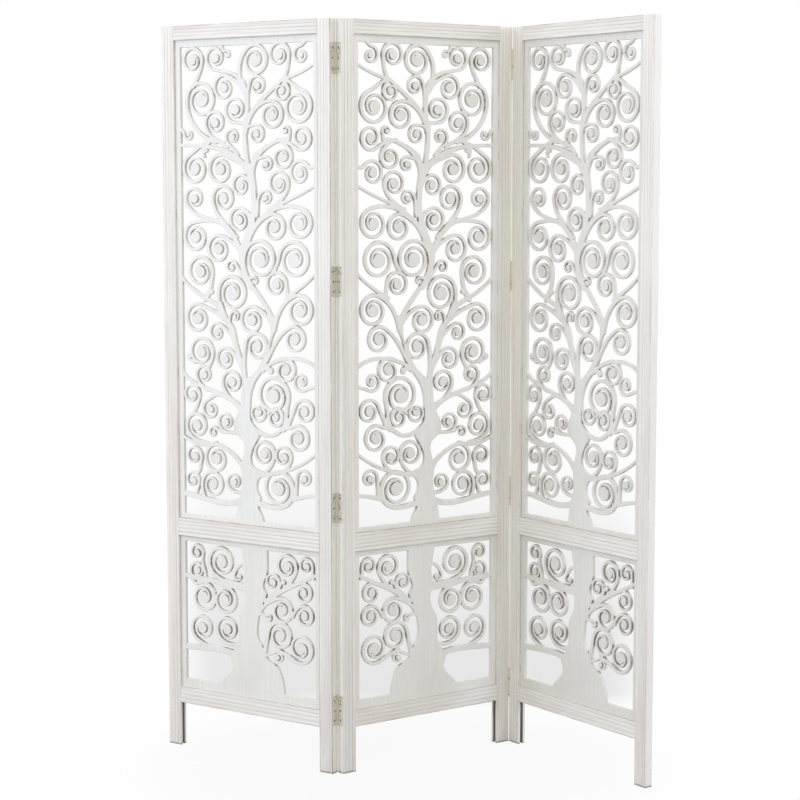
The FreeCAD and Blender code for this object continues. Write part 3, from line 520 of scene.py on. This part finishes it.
def painted_wood(name, paint, colours, along, wear_and_shade, shading_thinness=0):
    """Antique white paint over wood: streaked, thin in places, rubbed on its crests, and dirty in its
    grooves, where shade is painted too.

    Its marks are drawn out along the grain: 1 is round, less is longer. Wear and shade takes off more paint
    and darkens the grooves, partly as painted shade, and the shading thinness is the share of thin paint all
    over, which paints shade on boards that get less light.
    """
    material = new_material(name)
    tree = material.node_tree
    place = add_node(tree, "ShaderNodeAttribute", {"attribute_name": "place"}).outputs["Vector"]
    crest = add_node(tree, "ShaderNodeAttribute", {"attribute_name": "crest"}).outputs["Fac"]
    groove_dirt_and_shade = add_node(tree, "ShaderNodeAttribute", {"attribute_name": "groove_dirt_and_shade"}).outputs["Fac"]
    streaks = noise(tree, place, 240, 3, (1, 1, 0.05))
    mottle = noise(tree, place, 7, 2, (1, 1, 0.5))
    marks = noise(tree, place, 75, 2, (1, 1, along))
    rubs = noise(tree, place, 26, 2, (1, 1, along / 2))
    specks = noise(tree, place, 420, 2, (1, 1, 0.5))
    # Thin paint all over paints shade on the boards that get less light.
    patches = ramp(tree, mottle, 0.35, 0.75, shading_thinness, shading_thinness + 0.4)
    thin = maths(tree, "ADD", patches, ramp(tree, streaks, 0.4, 0.8, 0, 0.45), True)
    coat = mixed(tree, thin, solid(paint), solid(colours.thin_paint))
    stripe = maths(tree, "MULTIPLY", ramp(tree, crest, 0.1, 0.5), ramp(tree, rubs, 0.48, 0.62, 0, 0.75))
    coat = mixed(tree, stripe, coat, solid(colours.rubbed_paint))
    uneven = noise(tree, place, 60, 1, (1, 1, along / 10))
    # Glaze in the grooves: dirt, with painted shade in the narrow slits and between the reeds.
    dirt_and_shade = maths(tree, "MULTIPLY", groove_dirt_and_shade, ramp(tree, uneven, 0.35, 0.65, 0.15, 0.65 + wear_and_shade))
    coat = mixed(tree, dirt_and_shade, coat, solid(colours.glaze_and_shade))
    # Bare wood deep in the grooves, which in the narrow slits is partly painted shade.
    deep_marks = ramp(tree, marks, 0.58 - wear_and_shade, 0.66 - wear_and_shade, wear_and_shade, 0.8)
    deep_wear_and_shade = maths(tree, "MULTIPLY", ramp(tree, groove_dirt_and_shade, 0.5, 1), deep_marks)
    arris_marks = ramp(tree, marks, 0.5 - wear_and_shade, 0.62 - wear_and_shade, 0.1, 0.6)
    arris = maths(tree, "MULTIPLY", ramp(tree, crest, 0.55, 0.95), arris_marks)
    # Arrises rubbed bare nearly all along: on the knocked stile, and on the rails, where it also paints a
    # shadow line.
    knocked_and_shadow_line = maths(tree, "MULTIPLY", ramp(tree, crest, 1, 1.4), ramp(tree, marks, 0.3, 0.5, 0.35, 0.95))
    unpainted = ramp(tree, groove_dirt_and_shade, 1.2, 2.4, 0, 0.5)
    lowest = add_node(tree, "ShaderNodeSeparateXYZ", Vector=place).outputs["Z"]
    foot_marks = ramp(tree, marks, 0.35, 0.5, 0.2, 0.9)
    foot = maths(tree, "MULTIPLY", ramp(tree, lowest, 0.001, 0.006, 1, 0), foot_marks)
    chips = maths(tree, "MULTIPLY", ramp(tree, specks, 0.72, 0.78), ramp(tree, marks, 0.5, 0.6, 0, 0.6))
    worn = unpainted
    for share in (deep_wear_and_shade, arris, knocked_and_shadow_line, foot, chips):
        worn = maths(tree, "MAXIMUM", worn, share)
    bare = maths(tree, "MULTIPLY", worn, ramp(tree, specks, 0.2, 0.5, 0.55, 1))
    colour = mixed(tree, bare, coat, solid(colours.bare_wood))
    brushed = maths(tree, "MULTIPLY", streaks, 0.5)
    height = maths(tree, "SUBTRACT", brushed, maths(tree, "MULTIPLY", bare, 0.8))
    bump = add_node(tree, "ShaderNodeBump", Strength=0.35, Distance=0.0004, Height=height)
    shader = add_node(
        tree, "ShaderNodeBsdfPrincipled", Base_Color=colour, Roughness=ramp(tree, bare, 0, 1, 0.52, 0.85),
        Normal=bump.outputs[0])
    output = tree.nodes.new("ShaderNodeOutputMaterial")
    tree.links.new(shader.outputs[0], output.inputs[0])
    return material


def aged_brass(name, colours, painted):
    """Dull, spotted brass, of which about the given share is under paint."""
    material = new_material(name)
    tree = material.node_tree
    place = add_node(tree, "ShaderNodeTexCoord").outputs["Object"]
    spots = noise(tree, place, 160, 3)
    fine = noise(tree, place, 900, 2)
    tarnish = mixed(tree, ramp(tree, spots, 0.4, 0.6), solid(colours.brass), solid(colours.bare_wood))
    rough_spots = maths(tree, "ADD", spots, maths(tree, "MULTIPLY", fine, 0.15))
    left_on = ramp(tree, rough_spots, 0.9 - painted, 1 - painted)
    colour = mixed(tree, left_on, tarnish, solid(colours.hinge_paint))
    height = maths(tree, "ADD", left_on, fine)
    bump = add_node(tree, "ShaderNodeBump", Strength=0.3, Distance=0.0002, Height=height)
    shader = add_node(
        tree, "ShaderNodeBsdfPrincipled", Base_Color=colour, Metallic=ramp(tree, left_on, 0, 1, 0.9, 0),
        Roughness=ramp(tree, fine, 0.3, 0.7, 0.42, 0.6), Normal=bump.outputs[0])
    output = tree.nodes.new("ShaderNodeOutputMaterial")
    tree.links.new(shader.outputs[0], output.inputs[0])
    return material


def seen_directly(tree):
    """1 where the camera, a reflection or a look through glass meets the surface, else 0."""
    path = tree.nodes.new("ShaderNodeLightPath")
    seen = maths(tree, "MAXIMUM", path.outputs["Is Camera Ray"], path.outputs["Is Glossy Ray"])
    return maths(tree, "MAXIMUM", seen, path.outputs["Is Transmission Ray"])


class JALI_OT_boards(bpy.types.Operator):
    """Carves the pierced boards: the centre panel's two, and copies turned over for the other panels"""

    bl_idname = "jali.boards"
    bl_label = "Pierced Boards"

    def execute(self, context):
        sizes = context.scene.jali_carving
        colours = context.scene.jali_finish
        turned_over = Matrix.Translation((PANEL_WIDTH, 0, 0)) @ Matrix.Diagonal((-1, 1, 1, 1))
        for level in ("upper", "lower"):
            centre = carved_board("centre_%s_fretwork" % level, panel_place("centre"), sizes)
            for panel in PANELS:
                bm = centre.copy()
                if panel != "centre":
                    bmesh.ops.transform(bm, matrix=turned_over, verts=bm.verts)
                name = "%s_%s" % (panel, level)
                # Each board gets its own copy of the paint, with painted shade where less light falls on it.
                paint = painted_wood(
                    "painted_carving_" + name, colours.board_paint, colours, BOARD_MARKS, *BOARD_WEAR_AND_SHADE[name])
                finished_piece(
                    name + "_carved_board", bm, panel_place(panel), paint, panel + "_panel",
                    name + "_fretwork")
            centre.free()
        return {"FINISHED"}


class JALI_OT_frames(bpy.types.Operator):
    """Moulds reeds on the stiles and rails of the three frames"""

    bl_idname = "jali.frames"
    bl_label = "Reeded Frames"

    def execute(self, context):
        sizes = context.scene.jali_carving
        colours = context.scene.jali_finish
        material = painted_wood("painted_frame", colours.frame_paint, colours, FRAME_MARKS, FRAME_WEAR)
        members = {"left_stile": 0, "right_stile": 0, "top_rail": 2, "middle_rail": 2, "bottom_rail": 2}
        for panel in PANELS:
            place = panel_place(panel)
            for member, across in members.items():
                node = "%s_%s" % (panel, member)
                bm = moulded_member(node, place, across, sizes)
                finished_piece(node + "_reeded", bm, place, material, panel + "_panel", node)
        return {"FINISHED"}


class JALI_OT_hinges(bpy.types.Operator):
    """Gives the hinges and their screws an aged finish with some paint left on"""

    bl_idname = "jali.hinges"
    bl_label = "Aged Hinges"

    def execute(self, context):
        colours = context.scene.jali_finish
        leaves = aged_brass("painted_hinge_brass", colours, LEAF_PAINT)
        pins = aged_brass("aged_pin_brass", colours, PIN_PAINT)
        screws = aged_brass("bare_screw_brass", colours, SCREW_PAINT)
        for name, node in frame["nodes"].items():
            if "hinge" in name:
                finish = screws if "screws" in name else pins if name.endswith("pin") else leaves
                node.data.materials.clear()
                node.data.materials.append(finish)
        return {"FINISHED"}


class JALI_OT_studio(bpy.types.Operator):
    """Sets the pale floor, the white surroundings, the lamps and the camera"""

    bl_idname = "jali.studio"
    bl_label = "Studio"

    def execute(self, context):
        scene = context.scene
        settings = scene.jali_studio
        scene.view_settings.view_transform = "Standard"
        self.lay_floor(scene)
        self.light_sky(scene, settings)
        self.hang_lamp(scene, "key", settings.key_power, settings.key_colour)
        self.hang_lamp(scene, "front", settings.front_power, settings.room_colour)
        self.hang_lamp(scene, "top", settings.top_power, settings.room_colour)
        self.hang_lamp(scene, "side", settings.side_power, settings.key_colour)
        camera = bpy.data.objects.new("camera", bpy.data.cameras.new("camera"))
        camera.data.lens = settings.lens
        camera.data.sensor_width = 36
        camera.location = settings.camera_place
        camera.rotation_euler = (pi / 2 - settings.camera_pitch, 0, 0)
        scene.collection.objects.link(camera)
        scene.camera = camera
        return {"FINISHED"}

    def lay_floor(self, scene):
        """A floor that is white to the eye, apart from a soft shade round the feet and a painted shadow
        behind the screen.
        """
        bm = bmesh.new()
        bmesh.ops.create_grid(bm, x_segments=8, y_segments=8, size=FLOOR_REACH)
        mesh = bpy.data.meshes.new("floor")
        bm.to_mesh(mesh)
        bm.free()
        floor = bpy.data.objects.new("floor", mesh)
        scene.collection.objects.link(floor)
        material = new_material("pale_floor")
        tree = material.node_tree
        place = add_node(tree, "ShaderNodeTexCoord").outputs["Object"]
        apart = add_node(tree, "ShaderNodeSeparateXYZ", Vector=place).outputs
        # The painted shadow behind the screen, where the grey floor shows instead of white.
        fading = ramp(tree, apart["Y"], *ZONE_FADING, *ZONE_GREY)
        behind = maths(tree, "MULTIPLY", ramp(tree, apart["Y"], *ZONE_START), fading)
        aside = maths(tree, "DIVIDE", apart["X"], maths(tree, "ADD", apart["Y"], ZONE_MEETING))
        aside = maths(tree, "ABSOLUTE", maths(tree, "SUBTRACT", aside, ZONE_MIDDLE), 0)
        shaded = maths(tree, "MULTIPLY", behind, ramp(tree, aside, *ZONE_SIDES, 1, 0))
        distance = add_node(tree, "ShaderNodeVectorMath", {"operation": "LENGTH"}, Vector=place)
        close = ramp(tree, distance.outputs["Value"], *FEET_FADING, FEET_GREY, 0)
        far = maths(tree, "SUBTRACT", 1, maths(tree, "MAXIMUM", shaded, close))
        cloud = noise(tree, place, 3, 2)
        colour = mixed(tree, cloud, *(solid(tone) for tone in FLOOR_TONES))
        near_floor = add_node(tree, "ShaderNodeBsdfDiffuse", Color=colour)
        white = add_node(tree, "ShaderNodeEmission", Color=(1, 1, 1, 1), Strength=1)
        share = maths(tree, "MULTIPLY", far, seen_directly(tree))
        mix = add_node(tree, "ShaderNodeMixShader", Fac=share)
        tree.links.new(near_floor.outputs[0], mix.inputs[1])
        tree.links.new(white.outputs[0], mix.inputs[2])
        output = tree.nodes.new("ShaderNodeOutputMaterial")
        tree.links.new(mix.outputs[0], output.inputs[0])
        mesh.materials.append(material)

    def light_sky(self, scene, settings):
        """Even light from all round, in front of which the eye sees white."""
        world = bpy.data.worlds.new("white_room")
        world.use_nodes = True
        tree = world.node_tree
        tree.nodes.clear()
        seen = seen_directly(tree)
        colour = mixed(tree, seen, solid(settings.room_colour), solid((1, 1, 1)))
        background = add_node(
            tree, "ShaderNodeBackground", Color=colour, Strength=ramp(tree, seen, 0, 1, settings.sky, 1))
        output = tree.nodes.new("ShaderNodeOutputWorld")
        tree.links.new(background.outputs[0], output.inputs[0])
        scene.world = world

    def hang_lamp(self, scene, name, power, colour):
        place, size = LAMPS[name]
        lamp = bpy.data.lights.new(name, "AREA")
        lamp.shape = "SQUARE"
        lamp.size = size
        lamp.energy = power
        lamp.color = colour
        hung = bpy.data.objects.new(name, lamp)
        hung.location = place
        aim = LAMP_AIM - Vector(place)
        hung.rotation_euler = aim.to_track_quat("-Z", "Y").to_euler()
        scene.collection.objects.link(hung)


class JALI_PT_screen(bpy.types.Panel):
    """The steps that build the screen, in order"""

    bl_label = "Jali Screen"
    bl_idname = "JALI_PT_screen"
    bl_space_type = "VIEW_3D"
    bl_region_type = "UI"
    bl_category = "Jali Screen"

    def draw(self, context):
        for step in STEPS:
            self.layout.operator(step.bl_idname)
        for group in (context.scene.jali_carving, context.scene.jali_finish, context.scene.jali_studio):
            box = self.layout.box()
            for name in group.__annotations__:
                box.prop(group, name)


GROUPS = {"jali_carving": CarvingSizes, "jali_finish": FinishColours, "jali_studio": StudioSettings}
STEPS = (JALI_OT_studio, JALI_OT_boards, JALI_OT_frames, JALI_OT_hinges)


def register():
    for group in GROUPS.values():
        bpy.utils.register_class(group)
    for name, group in GROUPS.items():
        setattr(bpy.types.Scene, name, PointerProperty(type=group))
    for step in STEPS:
        bpy.utils.register_class(step)
    bpy.utils.register_class(JALI_PT_screen)


def unregister():
    bpy.utils.unregister_class(JALI_PT_screen)
    for step in reversed(STEPS):
        bpy.utils.unregister_class(step)
    for name in GROUPS:
        delattr(bpy.types.Scene, name)
    for group in reversed(GROUPS.values()):
        bpy.utils.unregister_class(group)


def main():
    """Builds the screen."""
    register()
    bpy.ops.jali.studio()
    bpy.ops.jali.boards()
    bpy.ops.jali.frames()
    bpy.ops.jali.hinges()


if __name__ == "__main__":
    main()
